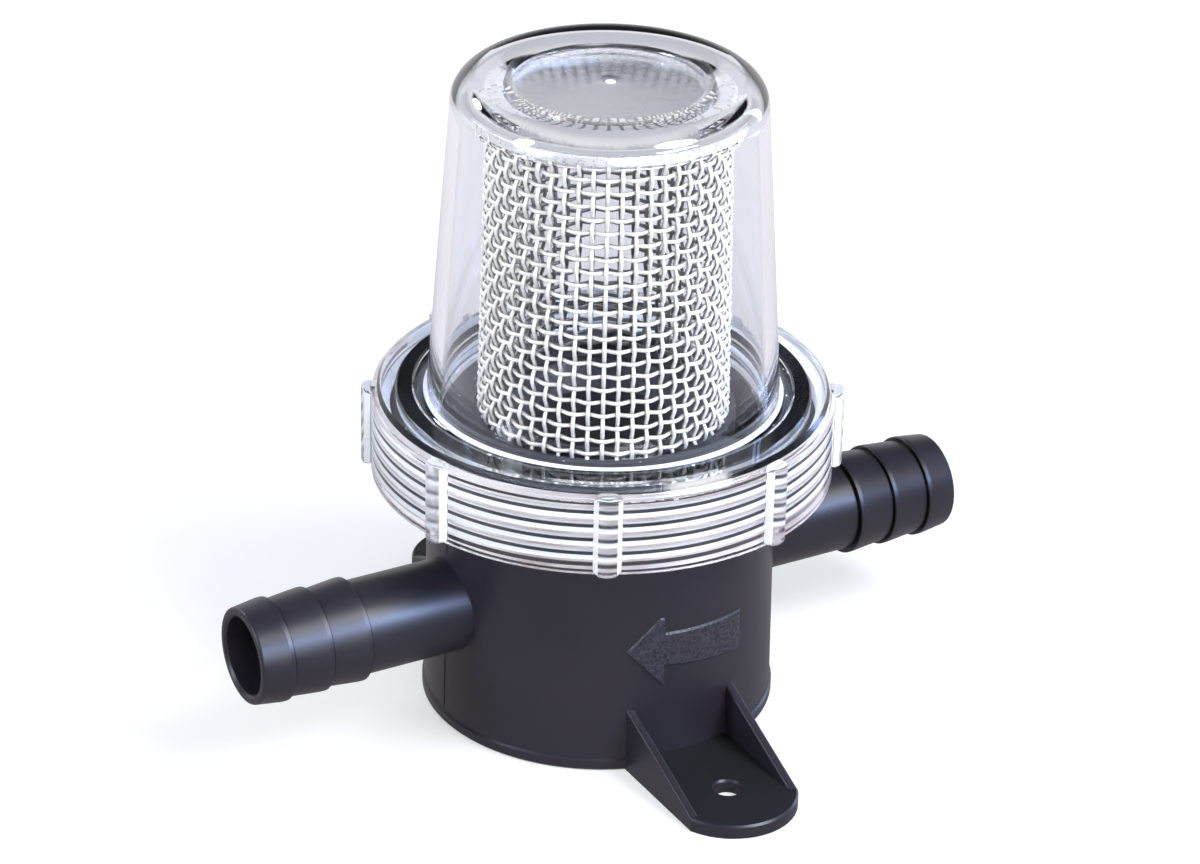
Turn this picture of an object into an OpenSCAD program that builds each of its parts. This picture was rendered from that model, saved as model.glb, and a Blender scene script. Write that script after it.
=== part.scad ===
// Inline sea water strainer with a see-through bowl.
// A moulded body carries two hose barbs and two feet. A clear bowl stands on a
// gasket on the body, and a clear threaded ring clamps it down. A sleeve of
// woven wire stands inside, between the body's deck and the bowl's ceiling.
// Water enters at +X, rises around the sleeve, passes in through the wire and
// leaves down the well to the barb at -X.
// Origin: centre of the underside. +Z up, +X towards the inlet. Millimetres.

/* [Pot] */
// Outer radius of the pot at its foot
pot_r = 36; // [30:0.5:44]
// How much narrower the pot is under the ring (moulding draft)
pot_draft = 1; // [0:0.25:2]
// Wall of the pot and of the head above it
pot_wall = 3; // [2:0.25:4]
// Thickness of the pot's floor
floor_t = 3.5; // [2.5:0.25:5]
// Height of the pot, up to the underside of the threaded head
pot_h = 52.4; // [46:0.2:64]
// Height of the threaded head, from its underside to the gasket's seat
head_h = 9.8; // [8:0.2:14]
// Thickness of the deck that closes the pot
deck_t = 3.6; // [2.5:0.1:5]
// How far the deck's spigot stands above the gasket's seat
spigot_h = 3; // [2.2:0.1:4]
// Distance from the weave in to the rim of the outlet well's mouth
mouth_inset = 4.3; // [3:0.1:8]
// How much narrower the well is under its mouth
well_taper = 4.2; // [1:0.1:6]
// Wall of the well and of the duct that leads out of it
well_wall = 2.5; // [1.5:0.25:3.5]
// Angle that each of the two inlet ports in the deck spans
port_angle = 52; // [20:1:60]

/* [Hose barbs] */
// Bore radius
bore_r = 8; // [6:0.1:10]
// Wall of the plain tube
tube_wall = 1.6; // [1.2:0.1:3]
// How far the barb rings' crests stand out from the tube
crest_out = 1; // [0.6:0.05:2]
// Height of the barbs' axis
barb_z = 27.1; // [22:0.1:33]
// Distance from the pot's foot out to the barbs' open ends
barb_len = 44.4; // [36:0.1:60]
// Distance from the open end back to the last ring's steep face
nose_len = 6.9; // [5:0.1:9]
// Number of rings on each barb
ring_n = 3; // [1:1:4]
// Distance from one ring to the next
ring_pitch = 8.4; // [6:0.1:10]
// Length of the flat land on a ring's crest
land = 1; // [0.5:0.1:2]

/* [Feet] */
// How far each foot stands out from the pot
foot_len = 31.1; // [26:0.1:40]
// Width of a foot
foot_w = 24.6; // [18:0.2:30]
// Radius of a foot's rounded end
foot_end_r = 13.5; // [12.5:0.1:20]
// Thickness of the feet
foot_t = 2.8; // [2:0.1:4]
// Width of the broken edge around the top of a foot
foot_edge = 0.4; // [0.1:0.1:0.8]
// Height of the rim around the pot's foot
foot_rim_h = 2.2; // [1:0.1:4]
// How far the rim around the pot's foot stands out
foot_rim_out = 0.4; // [0.2:0.1:1]
// Distance from a foot's end in to the middle of its screw hole
hole_inset = 14.5; // [8:0.1:20]
// Radius of the screw holes
hole_r = 2.7; // [1.7:0.1:3.4]
// Thickness of the side ribs
rib_t = 1.9; // [1.4:0.1:3]
// Height of the side ribs where they meet the pot
rib_h = 13.5; // [8:0.5:18]
// Radius of the rounded edges along the top of a rib
rib_round = 0.6; // [0.2:0.1:1]

/* [Bowl] */
// How far the bowl's wall stands in from the pot's, just above its flange
bowl_inset = 0.6; // [0:0.1:3]
// How much narrower the bowl is just under its shoulder
bowl_draft = 4.3; // [1:0.1:6]
// Height of the bowl, flange included
bowl_h = 71; // [60:0.5:86]
// Wall of the bowl
bowl_wall = 2.7; // [2:0.1:3.4]
// Thickness of the bowl's top
bowl_top_t = 4.5; // [3:0.1:6]
// Radius of the rounded shoulder
shoulder_r = 5.5; // [4:0.1:8]
// Thickness of the flange
flange_t = 3; // [2:0.1:4]
// Fillet between the flange and the wall
flange_fillet = 1.5; // [0.5:0.1:2]
// Distance from the bowl's side in to the sunk disc in its top
disc_inset = 12.3; // [8:0.1:20]
// Width of the sloping edge around the sunk disc
disc_edge = 1.5; // [0.5:0.1:2.5]
// Depth of the sunk disc
disc_depth = 0.9; // [0.3:0.1:1.5]
// Radius of the dimple that the moulding gate leaves in the disc
gate_r = 3.2; // [1.5:0.1:5]
// Depth of the ring under the ceiling that centres the sleeve
pilot_h = 2; // [1:0.1:3]

/* [Clamp ring] */
// How far the ring's lip bears on the bowl's flange
lip_bearing = 3.8; // [2:0.1:6]
// Thickness of the lip
lip_t = 2; // [1.5:0.1:3]
// Height of the ring, lip included
clamp_h = 18.2; // [15:0.1:24]
// Wall of the ring outside its thread
clamp_wall = 2; // [1.5:0.1:3]
// Width of the chamfer around the ring's top
clamp_chamfer = 1.8; // [0.5:0.1:1.9]
// Depth of the thread
thread_depth = 1.8; // [1:0.1:2.2]
// Number of grip tabs
tab_n = 8; // [4:1:12]
// Width of a grip tab
tab_w = 6; // [3:0.1:8]
// How far a grip tab stands out
tab_out = 2; // [0.8:0.1:3]
// Angle of the first tab from +X when the ring is tight
tab_start = 16.8; // [0:0.1:45]

/* [Gasket] */
// Thickness of the clamped gasket
gasket_t = 1.8; // [1:0.1:2]

/* [Wire sleeve] */
// Distance from the spigot's edge in to the middle of the weave
channel_w = 7.6; // [6.4:0.1:12]
// How much narrower the sleeve is at its top
sleeve_draft = 1.2; // [0:0.1:3]
// Diameter of the wire
wire_d = 0.85; // [0.5:0.05:1.2]
// Number of upright wires
wire_n = 54; // [40:2:72]
// Distance from one hoop to the next
hoop_pitch = 2.75; // [2.2:0.05:4]
// Depth of the groove in the deck that the sleeve stands in
groove_depth = 1; // [0.5:0.1:2]
// Height of the folded hem on the sleeve's upper edge
hem_h = 2.1; // [1.5:0.1:3]
// Thickness of the hem's sheet
hem_t = 0.4; // [0.2:0.05:0.6]

/* [Hidden] */
$fn = 96;

// Clearances: a seat that is face to face, a loose running gap and a wire gap
seat_gap = 0.3;
slip_gap = 0.6;
thread_gap = 0.4;
weld_gap = 0.03;
eps = 0.01;

// Radii that follow from the pot and the bowl: lip, flange, threaded head, ring
bowl_r = pot_r - bowl_inset;
bowl_top_r = bowl_r - bowl_draft;
disc_r = bowl_top_r - disc_inset;
bowl_in_r = bowl_r - bowl_wall;
lip_r = bowl_r + flange_fillet + 1.5 * slip_gap;
flange_r = lip_r + lip_bearing;
head_r = flange_r + slip_gap;
clamp_bore_r = head_r + thread_depth + thread_gap;
clamp_r = clamp_bore_r + clamp_wall;
spigot_r = bowl_in_r - slip_gap;
gasket_in_r = spigot_r + slip_gap;
gasket_r = flange_r - slip_gap;

// Heights, from the underside up
seat_z = pot_h + head_h;
flange_z = seat_z + gasket_t;
deck_z = seat_z + spigot_h;
lip_z = flange_z + flange_t;
clamp_z = lip_z + lip_t - clamp_h;
bowl_top_z = flange_z + bowl_h;
ceiling_z = bowl_top_z - bowl_top_t;

// Pot and barbs
pot_top_r = pot_r - pot_draft;
tube_r = bore_r + tube_wall;
crest_r = tube_r + crest_out;
barb_reach = pot_r + barb_len;
sleeve_r = spigot_r - channel_w;
sleeve_top_r = sleeve_r - sleeve_draft;
well_floor_z = barb_z - bore_r - 2;
well_mouth_r = sleeve_r - mouth_inset;
well_r = well_mouth_r - well_taper;
chamber_top_z = deck_z - deck_t;
seat_under_z = seat_z - pot_wall;

// Sleeve: hoops inside, upright wires outside, centred on the weave
sleeve_z = deck_z - groove_depth + seat_gap / 2;
sleeve_top_z = ceiling_z - seat_gap - hem_t;
sleeve_lean = atan((sleeve_r - sleeve_top_r) / (sleeve_top_z - sleeve_z));
hoop_start = groove_depth + 0.7;
hoop_n = floor((sleeve_top_z - sleeve_z - hoop_start - hem_h) / hoop_pitch) + 1;
layer = (wire_d + weld_gap) / 2;
hem_half = wire_d + weld_gap + hem_t;

// Feet
foot_reach = pot_r + foot_len;
hole_spacing = 2 * (foot_reach - hole_inset);
hole_chamfer = 0.4;
rib_end = foot_reach - 8.1;
rib_wall_y = sqrt(pow(pot_r, 2) - pow(foot_w / 2, 2));

// Points of an arc about (x, y), ends included
function arc(x, y, r, from, to, steps) =
    [for (i = [0 : steps]) let (a = from + (to - from) * i / steps) [x + r * cos(a), y + r * sin(a)]];

// Outer radius of the bowl's wall at a height above its flange's underside
bowl_taper = (bowl_r - bowl_top_r) / (bowl_h - shoulder_r - flange_t);
function bowl_at(h) = bowl_r - bowl_taper * (h - flange_t);

// Body ---------------------------------------------------------------------

// Outside of the pot and its threaded head, as one turned solid
module pot_outside() {
    edge = 0.5;
    rotate_extrude() polygon(concat(
        [[0, 0], [pot_r - edge, 0], [pot_r, edge], [pot_r, foot_rim_h],
         [pot_r - foot_rim_out, foot_rim_h + foot_rim_out],
         [pot_top_r, pot_h], [head_r - edge, pot_h], [head_r, pot_h + edge],
         [head_r, seat_z - edge], [head_r - edge, seat_z],
         [spigot_r, seat_z], [spigot_r, deck_z - edge]],
        [[spigot_r - edge, deck_z], [0, deck_z]]));
}

// Space that the incoming water fills, around and under the well
module inlet_chamber() {
    outer = well_r + well_wall;
    head_in_r = head_r - pot_wall;
    rotate_extrude() polygon([
        [0, floor_t], [pot_r - pot_wall, floor_t], [pot_top_r - pot_wall, pot_h + pot_wall / 3],
        [pot_top_r, pot_h + pot_wall], [head_in_r, pot_h + pot_wall], [head_in_r, seat_under_z],
        [spigot_r - pot_wall, seat_under_z], [spigot_r - pot_wall, chamber_top_z],
        [outer, chamber_top_z], [outer, well_floor_z - well_wall], [0, well_floor_z - well_wall]]);
}

// Outlet well, widening to the sleeve's mouth at the deck
module well() {
    rotate_extrude() polygon([
        [0, well_floor_z], [well_r, well_floor_z], [well_r, chamber_top_z - 2],
        [well_mouth_r, deck_z - 0.8], [well_mouth_r, deck_z + 1], [0, deck_z + 1]]);
}

// Two curved ports in the deck on the inlet side
module deck_ports() {
    web = 9;
    inner = sleeve_r + layer + wire_d / 2 + 1.2;
    outer = spigot_r - 1;
    for (side = [0, 1]) mirror([0, side, 0]) rotate([0, 0, web])
        rotate_extrude(angle = port_angle) translate([inner, seat_under_z - 1])
            square([outer - inner, deck_z - seat_under_z + 2]);
}

// Groove that the sleeve stands in
module sleeve_groove() {
    half = layer + wire_d / 2 + seat_gap;
    rotate_extrude() translate([sleeve_r - half, deck_z - groove_depth])
        square([2 * half, groove_depth + 1]);
}

// Hose barb along +X: plain tube, sawtooth rings and a rounded nose
module barb() {
    first = barb_reach - nose_len - (ring_n - 1) * ring_pitch;
    root_r = tube_r + 0.3;
    round_r = 0.6;
    rings = [for (k = [0 : ring_n - 1]) let (x = first + k * ring_pitch)
        each [[x, k == 0 ? tube_r : root_r], [x, crest_r - 0.15], [x + 0.15, crest_r], [x + land, crest_r]]];
    translate([0, 0, barb_z]) rotate([0, 90, 0]) rotate_extrude() polygon(
        [for (p = concat([[0, 0], [0, tube_r]], rings,
            arc(barb_reach - round_r, root_r - round_r, round_r, 80, 0, 5), [[barb_reach, 0]])) [p[1], p[0]]]);
}

// Side rib of a foot, its sloping top with both edges rounded
module foot_rib() {
    over = 10;
    start = 0.8 * pot_r;
    slope = atan((rib_h - foot_t) / (rib_end - rib_wall_y));
    round_r = min(rib_round, rib_t / 2 - 0.1);
    flat = rib_t / 2 - round_r;
    intersection() {
        translate([-rib_t / 2, start, foot_t / 2]) cube([rib_t, rib_end - start, rib_h + over]);
        translate([0, rib_end, foot_t]) rotate([90 - slope, 0, 0])
            translate([0, 0, -over]) linear_extrude(rib_end + 2 * over) {
                for (x = [-flat, flat]) translate([x, -round_r]) circle(round_r);
                translate([-flat, -round_r]) square([2 * flat, round_r]);
                translate([-rib_t / 2, -2 * rib_end]) square([rib_t, 2 * rib_end - round_r]);
            }
    }
}

// Foot towards +Y: flat pad with a rounded end between two side ribs
module foot() {
    side = foot_w / 2;
    middle = foot_reach - foot_end_r;
    intersection() {
        translate([0, foot_reach + 1, 0]) rotate([90, 0, 0]) linear_extrude(foot_reach - pot_r / 2 + 1) polygon([
            [-side, 0], [side, 0], [side, foot_t - foot_edge], [side - foot_edge, foot_t],
            [-side + foot_edge, foot_t], [-side, foot_t - foot_edge]]);
        union() {
            translate([0, middle, 0]) rotate_extrude() polygon([
                [0, 0], [foot_end_r, 0], [foot_end_r, foot_t - foot_edge],
                [foot_end_r - foot_edge, foot_t], [0, foot_t]]);
            translate([-side, 0, 0]) cube([foot_w, middle, foot_t]);
        }
    }
    for (x = [-1, 1]) translate([x * (side - rib_t / 2), 0, 0]) foot_rib();
}

// Screw hole through a foot, with its upper edge broken
module screw_hole() {
    translate([0, hole_spacing / 2, -1]) cylinder(h = foot_t + 2, r = hole_r);
    translate([0, hole_spacing / 2, foot_t - hole_chamfer])
        cylinder(h = hole_chamfer + eps, r1 = hole_r, r2 = hole_r + hole_chamfer + eps);
}

// Bore of a barb along +X, from a given distance out to the broken edge
module bore(from) {
    edge = 0.5;
    translate([from, 0, barb_z]) rotate([0, 90, 0]) cylinder(h = barb_reach - from + 1, r = bore_r);
    translate([barb_reach - edge, 0, barb_z]) rotate([0, 90, 0])
        cylinder(h = edge + eps, r1 = bore_r, r2 = bore_r + edge + eps);
}

// One moulding: pot, head, deck, well, barbs and feet
module body() {
    color("#34313a") difference() {
        union() {
            difference() {
                union() {
                    pot_outside();
                    for (turn = [0, 180]) rotate(turn) {
                        barb();
                        foot();
                    }
                }
                inlet_chamber();
            }
            // duct from the well to the outlet barb
            translate([-(pot_top_r - pot_wall / 2), 0, barb_z]) rotate([0, 90, 0])
                cylinder(h = pot_top_r - pot_wall / 2 - well_r, r = bore_r + well_wall);
        }
        well();
        deck_ports();
        sleeve_groove();
        bore(pot_top_r - pot_wall - 3);
        rotate(180) bore(0);
        for (turn = [0, 180]) rotate(turn) screw_hole();
    }
}

// Gasket --------------------------------------------------------------------

// Flat rubber ring between the body's seat and the bowl's flange
module gasket() {
    edge = 0.3;
    color("#17171a") translate([0, 0, seat_z]) rotate_extrude() polygon([
        [gasket_in_r, 0], [gasket_r - edge, 0], [gasket_r, edge],
        [gasket_r, gasket_t - edge], [gasket_r - edge, gasket_t], [gasket_in_r, gasket_t]]);
}

// Wire sleeve -----------------------------------------------------------------

// Leaning upright wires around the outside and level hoops around the inside
module wire_sleeve() {
    color("#c9ccd0") {
        for (i = [0 : wire_n - 1]) rotate(i * 360 / wire_n)
            translate([sleeve_r + layer, 0, sleeve_z]) rotate([0, -sleeve_lean, 0])
                cylinder(h = (sleeve_top_z - sleeve_z) / cos(sleeve_lean) - weld_gap, d = wire_d, $fn = 16);
        for (k = [0 : hoop_n - 1]) let (h = hoop_start + k * hoop_pitch)
            translate([0, 0, sleeve_z + h]) rotate_extrude()
                translate([sleeve_r - h * tan(sleeve_lean) - layer, 0]) circle(d = wire_d, $fn = 16);
    }
}

// Folded sheet hem that binds the sleeve's upper edge, a channel open below
module sleeve_hem() {
    gap = 0.1;
    outer = sleeve_top_r + hem_half + gap;
    inner = sleeve_top_r - hem_half - gap;
    color("#d5d7da") translate([0, 0, sleeve_top_z + hem_t - hem_h]) rotate_extrude() polygon([
        [inner, 0], [inner + hem_t, 0], [inner + hem_t, hem_h - hem_t],
        [outer - hem_t, hem_h - hem_t], [outer - hem_t, 0], [outer, 0],
        [outer, hem_h - hem_t], [outer - hem_t, hem_h], [inner + hem_t, hem_h], [inner, hem_h - hem_t]]);
}

// Bowl --------------------------------------------------------------------------

// Clear cup, mouth down: flange, drafted wall, rounded shoulder and sunk disc
module bowl() {
    lean = atan(bowl_taper);
    shoulder_h = bowl_h - shoulder_r;
    shoulder_x = bowl_at(shoulder_h) - shoulder_r / cos(lean);
    inner_round = max(shoulder_r - bowl_wall, 1);
    inner_h = bowl_h - bowl_top_t;
    inner_x = bowl_at(inner_h - inner_round) - bowl_wall - inner_round / cos(lean);
    foot_h = flange_t + flange_fillet;
    foot_x = bowl_at(foot_h) + flange_fillet;
    edge = 0.4;
    pilot_r = sleeve_top_r - hem_half - slip_gap;
    pilot_t = 1.6;
    gate_depth = 0.4;
    color("#dfe6ec", 0.35) translate([0, 0, flange_z]) rotate_extrude() polygon(concat(
        [[bowl_in_r, 0], [flange_r - edge, 0], [flange_r, edge],
         [flange_r, flange_t - edge], [flange_r - edge, flange_t]],
        arc(foot_x, foot_h, flange_fillet, 270, 180, 6),
        arc(shoulder_x, shoulder_h, shoulder_r, lean, 90, 12),
        [[disc_r + disc_edge, bowl_h], [disc_r, bowl_h - disc_depth],
         [gate_r, bowl_h - disc_depth], [0, bowl_h - disc_depth - gate_depth],
         [0, inner_h], [pilot_r - pilot_t, inner_h], [pilot_r - pilot_t, inner_h - pilot_h],
         [pilot_r, inner_h - pilot_h], [pilot_r, inner_h]],
        arc(inner_x, inner_h - inner_round, inner_round, 90, lean, 8)));
}

// Clamp ring --------------------------------------------------------------------

// Grip tab on +X: a half-round rib with round-cornered ends, the height of the ring
module grip_tab() {
    corner = 1.8;
    side = tab_w / 2 - corner;
    high = clamp_h - clamp_chamfer / 2 - corner;
    nose = clamp_r + tab_out - tab_w / 2;
    root = clamp_bore_r + clamp_wall / 2;
    intersection() {
        translate([root, 0, 0]) rotate([90, 0, 90]) linear_extrude(clamp_r + tab_out - root + 1) {
            for (x = [-side, side], y = [corner, high]) translate([x, y]) circle(corner);
            translate([-side, 0]) square([2 * side, high + corner]);
            translate([-tab_w / 2, corner]) square([tab_w, high - corner]);
        }
        union() {
            translate([nose, 0, -1]) cylinder(h = clamp_h + 2, d = tab_w);
            translate([0, -tab_w / 2, -1]) cube([nose, tab_w, clamp_h + 2]);
        }
    }
}

// Clear threaded ring with an inner lip and grip tabs; its thread is a plain bore
module clamp_ring() {
    edge = 0.4;
    bore_h = clamp_h - lip_t;
    color("#e4eaee", 0.35) translate([0, 0, clamp_z]) rotate(tab_start) {
        rotate_extrude() polygon([
            [clamp_bore_r + edge, 0], [clamp_r - edge, 0], [clamp_r, edge],
            [clamp_r, clamp_h - clamp_chamfer], [clamp_r - clamp_chamfer, clamp_h],
            [lip_r + edge, clamp_h], [lip_r, clamp_h - edge], [lip_r, bore_h + edge],
            [lip_r + edge, bore_h], [clamp_bore_r, bore_h], [clamp_bore_r, edge]]);
        for (i = [0 : tab_n - 1]) rotate(i * 360 / tab_n) grip_tab();
    }
}

body();
gasket();
wire_sleeve();
sleeve_hem();
bowl();
clamp_ring();
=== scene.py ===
from math import atan, atan2, cos, degrees, pi, radians, sin, sqrt

import bmesh
import bpy
from mathutils import Matrix, Vector


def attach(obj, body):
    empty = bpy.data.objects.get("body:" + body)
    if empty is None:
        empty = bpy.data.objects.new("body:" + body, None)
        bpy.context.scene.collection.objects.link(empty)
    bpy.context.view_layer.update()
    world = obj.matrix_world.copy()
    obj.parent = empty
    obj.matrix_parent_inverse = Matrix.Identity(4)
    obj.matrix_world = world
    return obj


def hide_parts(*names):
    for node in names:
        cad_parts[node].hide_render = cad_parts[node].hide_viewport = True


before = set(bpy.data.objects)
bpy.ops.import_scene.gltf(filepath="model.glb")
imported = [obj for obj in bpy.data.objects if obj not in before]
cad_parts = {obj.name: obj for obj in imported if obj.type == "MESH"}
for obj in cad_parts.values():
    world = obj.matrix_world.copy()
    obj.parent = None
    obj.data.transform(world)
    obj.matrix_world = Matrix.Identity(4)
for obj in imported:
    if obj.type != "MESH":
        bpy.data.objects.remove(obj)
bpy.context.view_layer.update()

# Camera: a long lens at the front left, looking a little down, so that the
# recess in the bowl's top, the arrow's side of the pot, the near foot and both
# barbs are in view. It is rolled by a little over a degree.
elevation = radians(27.56)
azimuth = radians(-30.09)
roll = 0.0232
distance = 0.914
aim = Vector((0, 0, 0.036))
raised = 0.0191
back = Vector((sin(azimuth) * cos(elevation), -cos(azimuth) * cos(elevation), sin(elevation)))
level = Vector((cos(azimuth), sin(azimuth), 0))
upright = back.cross(level)
right = cos(roll) * level + sin(roll) * upright
up = cos(roll) * upright - sin(roll) * level
place = aim + back * distance + up * raised
lens = bpy.data.cameras.new("camera")
lens.lens = 135.06
lens.clip_end = 20
camera = bpy.data.objects.new("camera", lens)
camera.matrix_world = Matrix((
    (right.x, up.x, back.x, place.x),
    (right.y, up.y, back.y, place.y),
    (right.z, up.z, back.z, place.z),
    (0, 0, 0, 1),
))
bpy.context.scene.collection.objects.link(camera)
bpy.context.scene.camera = camera

# Setting: a white floor that fades into a white surround. In reflections and
# through clear plastic the surround is grey overhead and dark behind the
# camera, and the floor is dim near it, so that the clear pieces show edges.


def feed(tree, term, target, socket):
    """Give an input its value: a number, a colour or a (node, output) pair"""
    if isinstance(term, tuple) and isinstance(term[0], bpy.types.Node):
        tree.links.new(term[0].outputs[term[1]], target.inputs[socket])
    else:
        target.inputs[socket].default_value = term


def add_node(tree, kind, settings=(), terms=()):
    """Add a node, set its own properties and feed its inputs"""
    new = tree.nodes.new(kind)
    for name, value in dict(settings).items():
        setattr(new, name, value)
    for socket, term in dict(terms).items():
        feed(tree, term, new, socket)
    return new


def maths(tree, operation, *terms):
    """Add a sum whose terms are numbers or (node, output) pairs"""
    return add_node(tree, "ShaderNodeMath", {"operation": operation}, enumerate(terms)), 0


def vector_maths(tree, operation, *terms):
    """Add a sum of vectors, which gives a number where it is a dot product"""
    new = add_node(tree, "ShaderNodeVectorMath", {"operation": operation}, enumerate(terms))
    return new, "Value" if operation == "DOT_PRODUCT" else "Vector"


def place_of(tree, space="Object"):
    """Add the place of the point that is shaded, in object space or as a direction"""
    return add_node(tree, "ShaderNodeTexCoord"), space


def split(tree, term):
    """Add a node that gives the X, Y and Z of a vector"""
    return add_node(tree, "ShaderNodeSeparateXYZ", (), {0: term})


def span(tree, term, low, high, start=0.0):
    """Add a clamped map of a value from low to high onto start to 1"""
    terms = {"Value": term, "From Min": low, "From Max": high, "To Min": start}
    return add_node(tree, "ShaderNodeMapRange", (), terms), "Result"


def ramp(tree, term, *stops):
    """Add a colour ramp between two stops, each a position with a grey or a colour"""
    new = add_node(tree, "ShaderNodeValToRGB", (), {"Fac": term})
    for element, (position, shade) in zip(new.color_ramp.elements, stops):
        element.position = position
        element.color = (*shade, 1) if isinstance(shade, tuple) else (shade, shade, shade, 1)
    return new, "Color"


def mix(tree, factor, first, second, kind="RGBA"):
    """Add a blend of two colours, or of two numbers where kind is FLOAT"""
    terms = {"Factor": factor, "A": first, "B": second}
    return add_node(tree, "ShaderNodeMix", {"data_type": kind}, terms), "Result"


def either(tree, factor, first, second):
    """Add a blend of two shaders"""
    return add_node(tree, "ShaderNodeMixShader", (), {0: factor, 1: first, 2: second}), 0


bpy.context.scene.view_settings.view_transform = "Standard"
line_of_sight = (0.50, 0.866, 0)
white = (1, 1, 1, 1)

world = bpy.data.worlds.new("surround")
bpy.context.scene.world = world
world.use_nodes = True
tree = world.node_tree
tree.nodes.clear()
direction = place_of(tree, "Generated")
ray = add_node(tree, "ShaderNodeLightPath")
ahead = vector_maths(tree, "DOT_PRODUCT", direction, line_of_sight)
overhead = ramp(tree, (split(tree, direction), "Z"), (0.16, 0.0), (0.44, 1.0))
mirrored = mix(tree, overhead, ramp(tree, ahead, (0.0, 0.14), (0.5, 1.0)), (0.09, 0.09, 0.11, 1))
through = mix(tree, overhead, ramp(tree, ahead, (0.0, 0.38), (0.5, 1.0)), (0.62, 0.63, 0.68, 1))
seen = mix(tree, (ray, "Is Transmission Ray"), mirrored, through)
seen = mix(tree, (ray, "Is Diffuse Ray"), seen, (0.50, 0.51, 0.53, 1))
seen = mix(tree, (ray, "Is Camera Ray"), seen, white)
glow = add_node(tree, "ShaderNodeBackground", (), {"Color": seen, "Strength": 1}), 0
add_node(tree, "ShaderNodeOutputWorld", (), {"Surface": glow})

bpy.ops.mesh.primitive_plane_add(size=6, location=(0, 0, -0.0001))
floor = bpy.context.object
floor.name = "floor"
paper = bpy.data.materials.new("white_paper")
paper.use_nodes = True
tree = paper.node_tree
tree.nodes.clear()
ray = add_node(tree, "ShaderNodeLightPath")
matt = add_node(tree, "ShaderNodeBsdfDiffuse", (), {"Color": (0.60, 0.60, 0.61, 1)}), 0
lift = add_node(tree, "ShaderNodeEmission", (), {"Color": white, "Strength": 0.48}), 0
lifted = add_node(tree, "ShaderNodeAddShader", (), {0: matt, 1: lift}), 0
plain = either(tree, (ray, "Is Camera Ray"), matt, lifted)
ahead = vector_maths(tree, "DOT_PRODUCT", place_of(tree), line_of_sight)
far = span(tree, ahead, -0.02, 0.30, 0.42)
near = span(tree, ahead, -0.19, -0.12, 0.2)
through = span(tree, ahead, -0.30, -0.05, 0.14)
strength = mix(tree, (ray, "Is Transmission Ray"), maths(tree, "MULTIPLY", far, near), through, "FLOAT")
glow = add_node(tree, "ShaderNodeEmission", (), {"Color": (0.96, 0.93, 1, 1), "Strength": strength}), 0
indirect = maths(tree, "MAXIMUM", (ray, "Is Glossy Ray"), (ray, "Is Transmission Ray"))
add_node(tree, "ShaderNodeOutputMaterial", (), {"Surface": either(tree, indirect, plain, glow)})
floor.data.materials.append(paper)

# Lights: oval soft boxes. The key stands high at the front right, a cool strip
# on each side draws the edges of pot and barbs, and a low one fills the front.
# Sheen and glint are only mirrored: in the black nylon, and in the bowl's top.


def soft_box(name, spot, aim_height, wide, high, power, colour=(1, 1, 1)):
    """Add a soft oval lamp that shines at a height on the object's axis"""
    data = bpy.data.lights.new(name, "AREA")
    data.shape = "ELLIPSE"
    data.size = wide
    data.size_y = high
    data.energy = power
    data.color = colour
    lamp = bpy.data.objects.new(name, data)
    lamp.location = spot
    towards = Vector((0, 0, aim_height)) - Vector(spot)
    lamp.rotation_euler = towards.to_track_quat("-Z", "Y").to_euler()
    bpy.context.scene.collection.objects.link(lamp)
    return lamp


soft_box("key", (0.30, -0.55, 0.75), 0.06, 0.42, 0.42, 6.5)
soft_box("left_strip", (-0.80, 0.05, 0.40), 0.05, 0.2, 0.6, 4, (0.80, 0.87, 1))
soft_box("right_strip", (0.80, 0.12, 0.25), 0.05, 0.12, 0.6, 1.8, (0.40, 0.55, 1))
soft_box("front_fill", (-0.15, -0.90, 0.30), 0.06, 0.5, 0.3, 3)
sheen = soft_box("sheen", (0.30, -0.79, 0.52), 0.03, 0.5, 0.10, 13, (0.42, 0.58, 1))
glint = soft_box("glint", (-0.17, 0.77, 0.62), 0.03, 0.30, 0.12, 3, (0.85, 0.90, 1))
for lamp in (sheen, glint):
    lamp.visible_diffuse = False
    lamp.visible_transmission = False

# Body: one moulding in charcoal glass-filled nylon, satin, with its mould's
# faint grain. Painted shade darkens thin bands behind the barbs' crests. The deck
# inside the bowl and the feet's upper faces are duller and carry painted shade,
# and dust lies on the deck.


def open_group(name, inputs, outputs):
    """Start a shader node group whose sockets are all numbers"""
    group = bpy.data.node_groups.new(name, "ShaderNodeTree")
    for way, sockets in (("INPUT", inputs), ("OUTPUT", outputs)):
        for socket in sockets:
            group.interface.new_socket(socket, in_out=way, socket_type="NodeSocketFloat")
    return group, group.nodes.new("NodeGroupInput"), group.nodes.new("NodeGroupOutput")


def grain_group():
    """Fine moulding grain and slow drift of shade"""
    group, start, end = open_group("moulding_grain", ["Size"], ["Height", "Drift"])
    where = place_of(group)
    terms = {"Vector": where, "Scale": (start, "Size"), "Detail": 3.0, "Roughness": 0.6}
    fine = add_node(group, "ShaderNodeTexNoise", (), terms)
    feed(group, (fine, "Fac"), end, "Height")
    slow = add_node(group, "ShaderNodeTexNoise", (), {"Vector": where, "Scale": 38.0, "Detail": 2.0})
    feed(group, (slow, "Fac"), end, "Drift")
    return group


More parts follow.
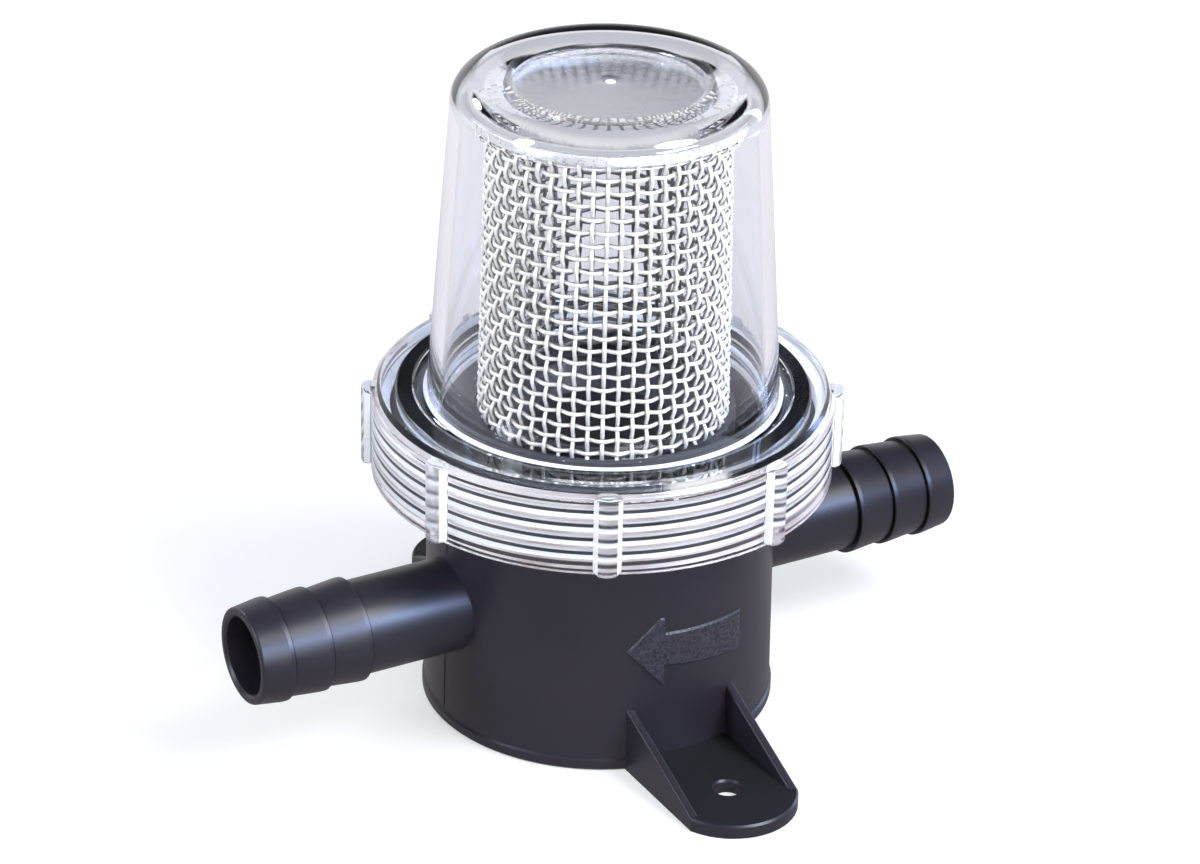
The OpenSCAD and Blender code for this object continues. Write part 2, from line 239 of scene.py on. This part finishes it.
def speck_group():
    """Scattered specks of dust, as a mask: not quite half of the cells hold one"""
    group, start, end = open_group("dust_specks", ["Spacing", "Size"], ["Mask"])
    cell_terms = {"Vector": place_of(group), "Scale": (start, "Spacing")}
    cells = add_node(group, "ShaderNodeTexVoronoi", (), cell_terms)
    near = maths(group, "LESS_THAN", (cells, "Distance"), (start, "Size"))
    chance = add_node(group, "ShaderNodeSeparateColor", (), {0: (cells, "Color")}), "Red"
    chosen = maths(group, "GREATER_THAN", chance, 0.55)
    feed(group, maths(group, "MULTIPLY", near, chosen), end, "Mask")
    return group


grain = grain_group()
specks = speck_group()


def grained(tree, fineness):
    """Add the moulding grain to a material"""
    return add_node(tree, "ShaderNodeGroup", {"node_tree": grain}, {"Size": fineness})


def dusted(tree, spacing, size):
    """Add the mask of dust specks to a material"""
    terms = {"Spacing": spacing, "Size": size}
    return add_node(tree, "ShaderNodeGroup", {"node_tree": specks}, terms), "Mask"


def grained_material(name, fineness, colour=None, roughness=None, **more):
    """Make a material and return it with its tree, shader and grain. Each value is
    plain, or (mask, stop, stop) where it runs along the grain's Height or Drift."""
    made = bpy.data.materials.new(name)
    made.use_nodes = True
    tree = made.node_tree
    shader = tree.nodes["Principled BSDF"]
    skin = grained(tree, fineness)
    for socket, value in {"Base Color": colour, "Roughness": roughness, **more}.items():
        if isinstance(value, tuple) and value[0] in ("Height", "Drift"):
            value = ramp(tree, (skin, value[0]), *value[1:])
        if value is not None:
            feed(tree, value, shader, socket.replace("_", " "))
    return made, tree, shader, skin


def bump(tree, term, strength, depth, shader):
    """Feed a height into a shader's normal"""
    terms = {"Strength": strength, "Distance": depth, "Height": term}
    feed(tree, (add_node(tree, "ShaderNodeBump", (), terms), "Normal"), shader, "Normal")


# Painted shade: thin bands at these distances along the barbs, just behind each crest's steep face, are
# coloured near black.
crest_shade_at = (0.05663, 0.06503, 0.07343)
crest_shade_half = 0.00026
deck_low = 0.0647
pad_high = 0.0031
nylon, tree, shader, skin = grained_material("charcoal_nylon", 2600.0)
bump(tree, (skin, "Height"), 0.10, 0.0002, shader)
axes = split(tree, place_of(tree))
along = maths(tree, "ABSOLUTE", (axes, "X"))
crest_shade = 0.0
for line in crest_shade_at:
    crest_shade = maths(tree, "ADD", crest_shade, maths(tree, "COMPARE", along, line, crest_shade_half))
deck = maths(tree, "GREATER_THAN", (axes, "Z"), deck_low)
facing = split(tree, (add_node(tree, "ShaderNodeNewGeometry"), "Normal"))
level_top = maths(tree, "GREATER_THAN", (facing, "Z"), 0.95)
pad_top = maths(tree, "MULTIPLY", maths(tree, "LESS_THAN", (axes, "Z"), pad_high), level_top)
rough = ramp(tree, (skin, "Drift"), (0.2, 0.33), (0.8, 0.43))
rough = mix(tree, deck, rough, 0.6, "FLOAT")
rough = mix(tree, pad_top, rough, 0.62, "FLOAT")
feed(tree, rough, shader, "Roughness")
shade = ramp(tree, (skin, "Drift"), (0.2, (0.0160, 0.0135, 0.0205)), (0.8, (0.0225, 0.0185, 0.0290)))
# Painted shade: near black in the bands behind the barbs' crests.
shade = mix(tree, crest_shade, shade, (0.001, 0.001, 0.001, 1))
# Painted shade: the deck inside the bowl and the feet's flat upper faces are coloured darker.
shade = mix(tree, maths(tree, "MAXIMUM", pad_top, deck), shade, (0.005, 0.0045, 0.006, 1))
dust = maths(tree, "MULTIPLY", dusted(tree, 330.0, 0.075), deck)
feed(tree, mix(tree, dust, shade, (0.42, 0.44, 0.50, 1)), shader, "Base Color")


def dress(name, material):
    """Put a material in every slot of a carried-over CAD piece"""
    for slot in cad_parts[name].material_slots:
        slot.material = material


dress("body", nylon)

# Male thread: one ridge moulded around the body's head, black like the body.
# The clear ring screws onto it, and it runs out to nothing at both ends.


def add_piece(name, mesh, material, body, smooth=True):
    """Make an object from bmesh data, with its material, body and finish"""
    bmesh.ops.remove_doubles(mesh, verts=mesh.verts, dist=1e-6)
    bmesh.ops.dissolve_degenerate(mesh, edges=mesh.edges, dist=1e-6)
    bmesh.ops.recalc_face_normals(mesh, faces=mesh.faces)
    data = bpy.data.meshes.new(name)
    mesh.to_mesh(data)
    mesh.free()
    for face in data.polygons:
        face.use_smooth = smooth
    data.materials.append(material)
    made = bpy.data.objects.new(name, data)
    bpy.context.scene.collection.objects.link(made)
    if smooth:
        data.set_sharp_from_angle(angle=radians(32))
    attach(made, body)
    return made


def skin_rows(mesh, rows, closed_rows=True, caps=True):
    """Join rows of points, each a closed outline, into one skin"""
    made = [[mesh.verts.new(point) for point in row] for row in rows]
    count = len(made[0])
    pairs = zip(made, made[1:] + made[:1]) if closed_rows else zip(made, made[1:])
    for one, two in pairs:
        for i in range(count):
            j = (i + 1) % count
            mesh.faces.new((one[i], one[j], two[j], two[i]))
    if caps and not closed_rows:
        mesh.faces.new(list(reversed(made[0])))
        mesh.faces.new(made[-1])


def spread(start, stop, count):
    """Values at even steps from start to stop, both included"""
    return [start + (stop - start) * i / count for i in range(count + 1)]


def turned(radius, angle, height):
    """Point at a radius in mm, an angle in degrees and a height in mm"""
    return Vector((radius * cos(radians(angle)), radius * sin(radians(angle)), height)) / 1000


head_r = 42.2
thread_out = 1.5
thread_pitch = 3.0
thread_low = 53.3
thread_turns = 2.6
fade_turns = 0.08
mesh = bmesh.new()
rows = []
for turn in spread(0, thread_turns, 400):
    fade = min(1, turn / fade_turns, (thread_turns - turn) / fade_turns)
    crest = head_r + thread_out * max(fade, 0.02)
    low = thread_low + thread_pitch * turn
    outline = [(head_r - 0.2, 0), (head_r, 0.1), (crest, 0.65), (crest, 1.05)]
    outline += [(head_r, 1.6), (head_r - 0.2, 1.7)]
    rows.append([turned(r, 360 * turn, low + dz) for r, dz in outline])
skin_rows(mesh, rows, closed_rows=False)
add_piece("male_thread", mesh, nylon, "base")

# Flow arrow: moulded in one with the pot, raised on its front with a stippled
# face, and pointing from the inlet to the outlet. It bends with the pot.
stipple, tree, shader, skin = grained_material(
    "stippled_nylon", 1700.0,
    ("Height", (0.35, (0.010, 0.009, 0.014)), (0.65, (0.050, 0.046, 0.070))),
    ("Height", (0.35, 0.5), (0.65, 0.3)),
)
bump(tree, (skin, "Height"), 0.5, 0.0003, shader)

pot_r = 35.6
pot_top_r = 35.0
draft_low = 2.6
draft_high = 52.4
arrow_tip = (-110.9, 26.9)
arrow_upper = [arrow_tip, (-98.4, 34.55), (-97.9, 30.3), (-66.4, 29.7)]
arrow_lower = [arrow_tip, (-98.0, 18.2), (-97.9, 22.8), (-67.8, 20.8)]
arrow_neck = -98.3
arrow_tail = -66.9
arrow_out = 0.42
arrow_root = 0.4


def edge_height(line, angle):
    """Height of a polyline of (angle, height) points at an angle"""
    for (a0, h0), (a1, h1) in zip(line, line[1:]):
        if angle <= a1:
            return h0 + (h1 - h0) * (angle - a0) / (a1 - a0)
    return line[-1][1]


def pot_radius(height):
    """Radius of the pot's drafted wall at a height, in mm"""
    return pot_r - (pot_r - pot_top_r) * (height - draft_low) / (draft_high - draft_low)


mesh = bmesh.new()
tip_angle, tip_z = arrow_tip
stations = spread(tip_angle, arrow_neck, 10) + spread(arrow_neck + 0.4, arrow_tail, 22)
rows = []
for angle in stations:
    high = max(edge_height(arrow_upper, angle), tip_z + 0.05)
    deep = min(edge_height(arrow_lower, angle), tip_z - 0.05)
    edge = min(0.4, (high - deep) / 2.2)
    rise = 0.03 if angle in (stations[0], stations[-1]) else arrow_out
    outline = [(-arrow_root, deep), (0.02, deep)]
    outline += [(rise, z) for z in spread(deep + edge, high - edge, 8)]
    outline += [(0.02, high)]
    outline += [(-arrow_root, z) for z in spread(high, deep, 8)[:-1]]
    rows.append([turned(pot_radius(z) + out, angle, z) for out, z in outline])
skin_rows(mesh, rows, closed_rows=False)
add_piece("flow_arrow", mesh, stipple, "base", smooth=False)

# Mould lines: the fine raised lines on both sides of the pot where the halves
# of the body's mould met. They stop short of the barbs.
line_out = 0.14
line_half = 0.22
line_section = [(line_out - 0.3, -1), (line_out - 0.08, -1), (line_out, 0), (line_out - 0.08, 1)]
line_section += [(line_out - 0.3, 1)]
mesh = bmesh.new()
for side in (0, 180):
    for low, high in ((2.8, 16.2), (38.0, 52.2)):
        heights = spread(low, high, 12)
        rows = []
        for z in heights:
            sunk = line_out if z in (heights[0], heights[-1]) else 0.0
            rows.append([
                turned(pot_radius(z) + out - sunk, side + line_half * aside, z)
                for out, aside in line_section
            ])
        skin_rows(mesh, rows, closed_rows=False)
add_piece("mould_lines", mesh, nylon, "base", smooth=False)

# Gasket: a flat ring cut from black rubber sheet, clamped between the body's
# seat and the bowl's flange. Bright specks show on it through the flange.
rubber, tree, shader, skin = grained_material("black_rubber", 900.0, None, 0.55)
bump(tree, (skin, "Height"), 0.3, 0.0002, shader)
flecked = mix(tree, dusted(tree, 330.0, 0.17), (0.007, 0.007, 0.008, 1), (0.8, 0.82, 0.85, 1))
feed(tree, flecked, shader, "Base Color")
dress("gasket", rubber)

# Wire sleeve: plain weave of stainless wire rolled into a tube that leans in
# towards its top. Upright wires pass over and under the level hoops. It stands
# in the deck's groove, and its inner side is darkened with painted shade.
sleeve_low = 0.06435
sleeve_sizes = {
    "Wire": 0.00085,
    "Foot Radius": 0.0245,
    "Lean": 0.01833,
    "Length": 0.0654,
    "First Hoop": 0.0017,
    "Hoop Pitch": 0.00275,
    "Crimp": 0.00044,
    "Hoops": 23,
    "Pairs": 27,
}


def sleeve_tree(material):
    """Geometry nodes for a woven tube: one rule crimps uprights and hoops"""
    tree = bpy.data.node_groups.new("woven_tube", "GeometryNodeTree")
    for name, value in sleeve_sizes.items():
        kind = "NodeSocketInt" if isinstance(value, int) else "NodeSocketFloat"
        tree.interface.new_socket(name, in_out="INPUT", socket_type=kind)
    tree.interface.new_socket("Geometry", in_out="OUTPUT", socket_type="NodeSocketGeometry")
    size = tree.nodes.new("NodeGroupInput")
    end = tree.nodes.new("NodeGroupOutput")

    def product(*terms):
        """Add the product of two or more terms"""
        total = terms[0]
        for term in terms[1:]:
            total = maths(tree, "MULTIPLY", total, term)
        return total

    def upwards(height):
        """Add a vector along Z"""
        return add_node(tree, "ShaderNodeCombineXYZ", (), {"Z": height}), 0

    def copies(count, spacing, offset, turn, curve):
        """Copies of a curve, each moved up or turned by its number"""
        number = tree.nodes.new("GeometryNodeInputIndex"), 0
        lift = upwards(maths(tree, "MULTIPLY_ADD", number, spacing, offset))
        points = add_node(tree, "GeometryNodePoints", (), {"Count": count, "Position": lift}), 0
        terms = {"Points": points, "Instance": curve, "Rotation": upwards(product(number, turn))}
        put = add_node(tree, "GeometryNodeInstanceOnPoints", (), terms), 0
        return add_node(tree, "GeometryNodeRealizeInstances", (), {0: put}), 0

    def crimped(curves, side):
        """Bend curves in and out of the weave, then give them thickness"""
        parts = split(tree, (tree.nodes.new("GeometryNodeInputPosition"), 0))
        angle = maths(tree, "ARCTAN2", (parts, "Y"), (parts, "X"))
        above = maths(tree, "SUBTRACT", (parts, "Z"), (size, "First Hoop"))
        pitches = maths(tree, "DIVIDE", above, (size, "Hoop Pitch"))
        wave = maths(tree, "COSINE", product(pitches, pi))
        across = maths(tree, "COSINE", product(angle, (size, "Pairs")))
        crimp = product(product(wave, across), product((size, "Crimp"), side))
        leaning = product((parts, "Z"), (size, "Lean"))
        reach = maths(tree, "ADD", maths(tree, "SUBTRACT", (size, "Foot Radius"), leaning), crimp)
        terms = {
            "X": product(maths(tree, "COSINE", angle), reach),
            "Y": product(maths(tree, "SINE", angle), reach),
            "Z": maths(tree, "ADD", (parts, "Z"), sleeve_low),
        }
        spot = add_node(tree, "ShaderNodeCombineXYZ", (), terms), 0
        bent = add_node(tree, "GeometryNodeSetPosition", (), {"Geometry": curves, "Position": spot}), 0
        terms = {"Resolution": 8, "Radius": product((size, "Wire"), 0.5)}
        section = add_node(tree, "GeometryNodeCurvePrimitiveCircle", (), terms), 0
        terms = {"Curve": bent, "Profile Curve": section, "Fill Caps": True}
        return add_node(tree, "GeometryNodeCurveToMesh", (), terms), 0

    top = add_node(tree, "ShaderNodeCombineXYZ", (), {"X": 1, "Z": (size, "Length")}), 0
    terms = {"Start": (1, 0, 0), "End": top}
    stake = add_node(tree, "GeometryNodeCurvePrimitiveLine", (), terms), 0
    waves = maths(tree, "DIVIDE", (size, "Length"), (size, "Hoop Pitch"))
    terms = {"Curve": stake, "Count": maths(tree, "MULTIPLY_ADD", waves, 4, 1)}
    fine = add_node(tree, "GeometryNodeResampleCurve", (), terms), 0
    doubled = product((size, "Pairs"), 2)
    uprights = copies(doubled, 0, 0, maths(tree, "DIVIDE", 2 * pi, doubled), fine)

    terms = {"Resolution": product((size, "Pairs"), 8), "Radius": 1}
    hoop = add_node(tree, "GeometryNodeCurvePrimitiveCircle", (), terms), 0
    hoops = copies((size, "Hoops"), (size, "Hoop Pitch"), (size, "First Hoop"), 0, hoop)

    both = add_node(tree, "GeometryNodeJoinGeometry")
    feed(tree, crimped(uprights, 1), both, 0)
    feed(tree, crimped(hoops, -1), both, 0)
    real = add_node(tree, "GeometryNodeRealizeInstances", (), {0: (both, 0)}), 0
    clad = add_node(tree, "GeometryNodeSetMaterial", (), {0: real, "Material": material}), 0
    feed(tree, clad, end, 0)
    return tree


steel, tree, shader, skin = grained_material(
    "bright_wire", 1800.0, None, ("Height", (0.3, 0.32), (0.7, 0.46)), Metallic=0.6
)
shade = ramp(tree, (skin, "Drift"), (0.3, (0.85, 0.79, 0.68)), (0.7, (0.96, 0.90, 0.79)))
outward = vector_maths(tree, "NORMALIZE", vector_maths(tree, "MULTIPLY", place_of(tree), (1, 1, 0)))
surface = add_node(tree, "ShaderNodeNewGeometry"), "Normal"
# Painted shade: the wires' faces that turn in towards the axis are coloured dark.
inner = span(tree, vector_maths(tree, "DOT_PRODUCT", surface, outward), 0.35, -0.25)
feed(tree, mix(tree, inner, shade, (0.16, 0.145, 0.13, 1)), shader, "Base Color")

blank = bpy.data.objects.new("woven_sleeve_rule", bpy.data.meshes.new("woven_sleeve_rule"))
bpy.context.scene.collection.objects.link(blank)
rule = blank.modifiers.new("weave", "NODES")
rule.node_group = sleeve_tree(steel)
for socket in rule.node_group.interface.items_tree:
    if socket.in_out == "INPUT":
        rule[socket.identifier] = sleeve_sizes[socket.name]
drawn = blank.evaluated_get(bpy.context.evaluated_depsgraph_get())
data = bpy.data.meshes.new_from_object(drawn)
data.name = "woven_sleeve"
data.materials.clear()
data.materials.append(steel)
data.polygons.foreach_set("material_index", [0] * len(data.polygons))
bpy.data.objects.remove(blank)
for face in data.polygons:
    face.use_smooth = True
data.set_sharp_from_angle(angle=radians(50))
sleeve = bpy.data.objects.new("woven_sleeve", data)
bpy.context.scene.collection.objects.link(sleeve)
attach(sleeve, "base")
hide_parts("wire_sleeve")

# Hem: a strip of thin stainless sheet folded over the sleeve's upper edge and
# pressed flat on both sides, so that no wire end scratches the bowl.
sheet = grained_material(
    "bright_sheet", 700.0, (0.80, 0.76, 0.70, 1), ("Height", (0.3, 0.22), (0.7, 0.4)), Metallic=0.6
)[0]
dress("sleeve_hem", sheet)

# Bowl: a clear cup moulded in polycarbonate with a slight blue cast, mouth
# down on its flange. Painted shade turns its thick shoulder dark where it is
# seen edge on. A fine frosted line runs around its foot as a painted highlight,
# and its top bears the gate's mark.


def clear_plastic(name, tint, roughness):
    """Clear moulded plastic that lets lamplight through to what is behind it"""
    made, tree, shader, skin = grained_material(
        name, 300.0, (*tint, 1), ("Drift", (0.3, roughness * 0.6), (0.7, roughness * 1.5)),
        Transmission_Weight=1.0, IOR=1.56,
    )
    ray = add_node(tree, "ShaderNodeLightPath")
    through = add_node(tree, "ShaderNodeBsdfTransparent", (), {"Color": (*tint, 1)}), 0
    mixed = either(tree, (ray, "Is Shadow Ray"), (shader, 0), through)
    feed(tree, mixed, tree.nodes["Material Output"], "Surface")
    return made, tree, shader


bowl_tint = (0.925, 0.940, 0.962)
bowl_plastic, tree, shader = clear_plastic("clear_bowl_plastic", bowl_tint, 0.02)
# Painted shade: the shoulder's colour goes near black where it is seen edge on.
edge_on = add_node(tree, "ShaderNodeLayerWeight", (), {"Blend": 0.5}), "Facing"
height = split(tree, place_of(tree)), "Z"
above_wall = span(tree, height, 0.1312, 0.1317)
below_top = span(tree, height, 0.13499, 0.13496)
band = maths(tree, "MULTIPLY", above_wall, below_top)
painted_rim_shade = maths(tree, "MULTIPLY", ramp(tree, edge_on, (0.59, 0.0), (0.66, 1.0)), band)
feed(tree, mix(tree, painted_rim_shade, (*bowl_tint, 1), (0.0005, 0.0005, 0.001, 1)), shader, "Base Color")

matt_plastic, tree, shader = clear_plastic("matt_disc_plastic", bowl_tint, 0.2)
bump(tree, (grained(tree, 620.0), "Height"), 0.12, 0.0004, shader)

# Whitish frosted plastic: real frosting on the gate's mark, and a painted highlight on the thin ring around
# the bowl's foot.
frosted = grained_material(
    "frosted_and_highlight_plastic", 800.0, (0.92, 0.92, 0.93, 1), ("Height", (0.3, 0.3), (0.7, 0.5)),
    Transmission_Weight=0.15, IOR=1.56,
)[0]


def arc(x, y, r, start, stop, count):
    """Points of an arc about (x, y) from one angle in degrees to another, ends included"""
    turns = [radians(a) for a in spread(start, stop, count)]
    return [(x + r * cos(a), y + r * sin(a)) for a in turns]


def turned_piece(name, outline, material, body, sides=180):
    """Turn a closed outline of (radius, height) points, in mm, about the axis"""
    mesh = bmesh.new()
    rows = [[turned(r, a, z) for r, z in outline] for a in spread(0, 360, sides)[:-1]]
    skin_rows(mesh, rows)
    return add_piece(name, mesh, material, body)


mouth = 64.02
flange_r = 41.6
flange_top = 67.0
flange_edge = 0.4
bowl_r = 35.4
bowl_top_r = 31.1
bowl_wall = 2.7
shoulder = 5.5
inner_round = 2.8
fillet = 1.5
bowl_top = 135.0
ceiling = 130.5
disc_r = 18.8
disc_z = 134.1
gate_r = 3.2
pilot_out = 21.42
pilot_in = 19.82
pilot_low = 128.5
taper = (bowl_r - bowl_top_r) / (bowl_top - shoulder - flange_top)
lean = degrees(atan(taper))
slant = 1 / cos(radians(lean))


def wall_r(height):
    """Outer radius of the bowl's drafted wall at a height, in mm"""
    return bowl_r - taper * (height - flange_top)


outline = [(bowl_r - bowl_wall, mouth), (flange_r - flange_edge, mouth), (flange_r, mouth + 0.38)]
outline += [(flange_r, flange_top - flange_edge), (flange_r - flange_edge, flange_top)]
fillet_z = flange_top + fillet
outline += arc(wall_r(fillet_z) + fillet, fillet_z, fillet, 270, 180, 12)
outline += arc(bowl_top_r - shoulder * slant, bowl_top - shoulder, shoulder, lean, 90, 24)
outline += [(disc_r + 1.5, bowl_top), (disc_r + 0.15, disc_z + 0.06), (disc_r - 0.1, disc_z)]
outline += [(gate_r, disc_z), (gate_r - 1, disc_z - 0.1), (0, disc_z - 0.4), (0, ceiling)]
outline += [(pilot_in, ceiling), (pilot_in, pilot_low), (pilot_out, pilot_low), (pilot_out, ceiling)]
round_z = ceiling - inner_round
outline += arc(wall_r(round_z) - bowl_wall - inner_round * slant, round_z, inner_round, 90, lean, 16)
cup = turned_piece("clear_cup", outline, bowl_plastic, "lifting_bowl")
cup.data.materials.append(matt_plastic)
for face in cup.data.polygons:
    if face.center.z * 1000 > disc_z - 0.6 and Vector(face.center[:2]).length * 1000 < disc_r + 1.4:
        face.material_index = 1
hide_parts("bowl")

# Painted highlight: a thin whitish ring on the foot's fillet stands in for the lamps' highlight there.
painted_foot_highlight = [(35.2, 67.45), (35.95, 67.5), (36.0, 67.8), (35.8, 68.1), (35.2, 68.2)]
turned_piece("painted_foot_highlight", painted_foot_highlight, frosted, "lifting_bowl")
gate = [(0, 133.5), (1.1, 133.65), (1.0, 133.95), (0.6, 134.05), (0, 134.08)]
turned_piece("gate_mark", gate, frosted, "lifting_bowl", 24)

# Clamp ring: clear moulded ring with a coarse inner thread, a lip that bears
# on the bowl's flange and eight frosted half-round grip tabs. The black thread
# it screws onto shows as dark lines through its wall, helped by painted shade on
# the crest lands where they bear on it. Its whitish flanks are a painted reflection.
ring_plastics = [
    clear_plastic("clear_ring_plastic", (0.95, 0.962, 0.978), 0.04),
    # Painted reflection: the thread's flanks are whitish, standing in for the light that the thread
    # reflects inside the clear ring.
    grained_material(
        "thread_flank_plastic", 500.0,
        ("Drift", (0.3, (0.86, 0.86, 0.85)), (0.7, (0.93, 0.92, 0.89))),
        ("Drift", (0.3, 0.25), (0.7, 0.5)),
        Transmission_Weight=0.2, IOR=1.56,
    ),
    # Painted shade: the crest lands, where the ring's thread bears on the black thread, are coloured near
    # black.
    grained_material(
        "thread_bearing_plastic", 400.0,
        ("Drift", (0.35, (0.012, 0.012, 0.016)), (0.65, (0.06, 0.05, 0.05))), 0.4,
    ),
    grained_material(
        "thread_root_plastic", 400.0,
        ("Drift", (0.35, (0.34, 0.27, 0.25)), (0.65, (0.72, 0.66, 0.62))), 0.4,
    ),
    clear_plastic("frosted_tab_plastic", (0.91, 0.925, 0.95), 0.22),
    clear_plastic("frosted_lip_plastic", (0.93, 0.945, 0.965), 0.16),
]
wall, flank, bearing, root, tab, lip = range(6)

ring_low = 50.8
ring_h = 18.2
bore_r = 44.4
ring_r = 46.4
lip_r = 37.8
lip_t = 2.0
corner = 0.4
chamfer = 1.8
tab_w = 6.0
tab_out = 2.0
tab_corner = 1.8
tab_start = 16.8
tabs = 8
tab_step = 360 / tabs
crest_r = 42.6
root_half = 1.24
ridge_fade = 0.4
ridge_outline = [(0, root_half), (1.8, 0.34), (1.8, -0.08), (1.2, -0.64), (0, -root_half)]


def ring_column(angle, middle):
    """Closed outline of the ring's section at an angle, in degrees, on a tab if it has a middle"""
    outer = ring_r
    foot = 1.2
    top = ring_h - chamfer - 0.5
    if middle is not None:
        aside = abs(radians(angle - middle)) * ring_r
        bulge = sqrt(max((tab_w / 2) ** 2 - aside ** 2, 0))
        outer = max(ring_r, ring_r + tab_out - tab_w / 2 + bulge)
        past = max(aside - tab_w / 2 + tab_corner, 0)
        inset = tab_corner - sqrt(max(tab_corner ** 2 - past ** 2, 0))
        foot = inset + 0.05
        top = ring_h - chamfer / 2 - inset
    edge = min(0.6, (outer - ring_r) * 0.6)
    high = max(top, ring_h - chamfer)
    round_edge = [(edge * sin(radians(a)) - edge, edge * (1 - cos(radians(a)))) for a in (0, 30, 60, 90)]
    sloped = ring_r + ring_h - chamfer
    points = [(bore_r + corner, 0), (ring_r - corner, 0), (ring_r, 0.04), (ring_r, foot)]
    points += [(outer + r, foot + z) for r, z in round_edge]
    points += [(outer + r, top - z) for r, z in reversed(round_edge)]
    points += [(min(ring_r, sloped - top), top), (min(ring_r, sloped - high), high)]
    points += [(ring_r - chamfer, ring_h), (lip_r + corner, ring_h), (lip_r, ring_h - corner)]
    points += [(lip_r, ring_h - lip_t + corner), (lip_r + corner, ring_h - lip_t), (bore_r, ring_h - lip_t)]
    column = [turned(r, angle, ring_low + z) for r, z in points]
    bore_low = ring_low + corner
    bore_high = ring_low + ring_h - lip_t - 0.05
    for k in range(6, -2, -1):
        ridge = thread_low + 0.85 + thread_pitch * (k - 0.5 + angle / 360)
        run_out = min(bore_high - root_half - ridge, ridge - bore_low - root_half) / ridge_fade
        depth = max(0, min(1, run_out))
        for out, dz in ridge_outline:
            column.append(turned(bore_r - out * depth, angle, min(max(ridge + dz, bore_low), bore_high)))
    column.append(turned(bore_r, angle, bore_low))
    return column


def plastic_of(face, vertices):
    """Number of the plastic that one of the ring's faces shows"""
    reach = Vector(face.center[:2]).length * 1000
    height = face.center.z * 1000 - ring_low
    tall = max(vertices[v].co.z for v in face.vertices) * 1000 - face.center.z * 1000
    turn = degrees(atan2(face.center.y, face.center.x)) - tab_start
    aside = abs((turn + tab_step / 2) % tab_step - tab_step / 2)
    if height > ring_h - lip_t - 0.2 or height < 0.45:
        return lip if height > ring_h - chamfer - 0.05 and reach > bore_r - 0.2 else wall
    if reach > ring_r + 0.15:
        return tab if aside < 0.62 * tab_half else flank
    if crest_r + 0.1 < reach < crest_r + 0.5:
        return bearing
    if reach < bore_r - 0.1:
        return flank
    return root if reach < bore_r + 0.02 and tall < 0.3 else wall


tab_half = degrees(sqrt((tab_w / 2) ** 2 - (tab_w / 2 - tab_out) ** 2) / ring_r)
stations = []
for t in range(tabs):
    middle = tab_start + tab_step * t
    stations += [(middle + tab_half * sin(radians(a)), middle) for a in spread(-90, 90, 18)]
    stations += [(a, None) for a in spread(middle + tab_half, middle + tab_step - tab_half, 24)[1:-1]]
stations.append((stations[0][0] + 360, stations[0][1] + 360))
mesh = bmesh.new()
skin_rows(mesh, [ring_column(*station) for station in stations], closed_rows=False, caps=False)
ring = add_piece("threaded_ring", mesh, ring_plastics[wall][0], "turning_ring")
for plastic in ring_plastics[flank:]:
    ring.data.materials.append(plastic[0])
for face in ring.data.polygons:
    face.material_index = plastic_of(face, ring.data.vertices)
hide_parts("clamp_ring")
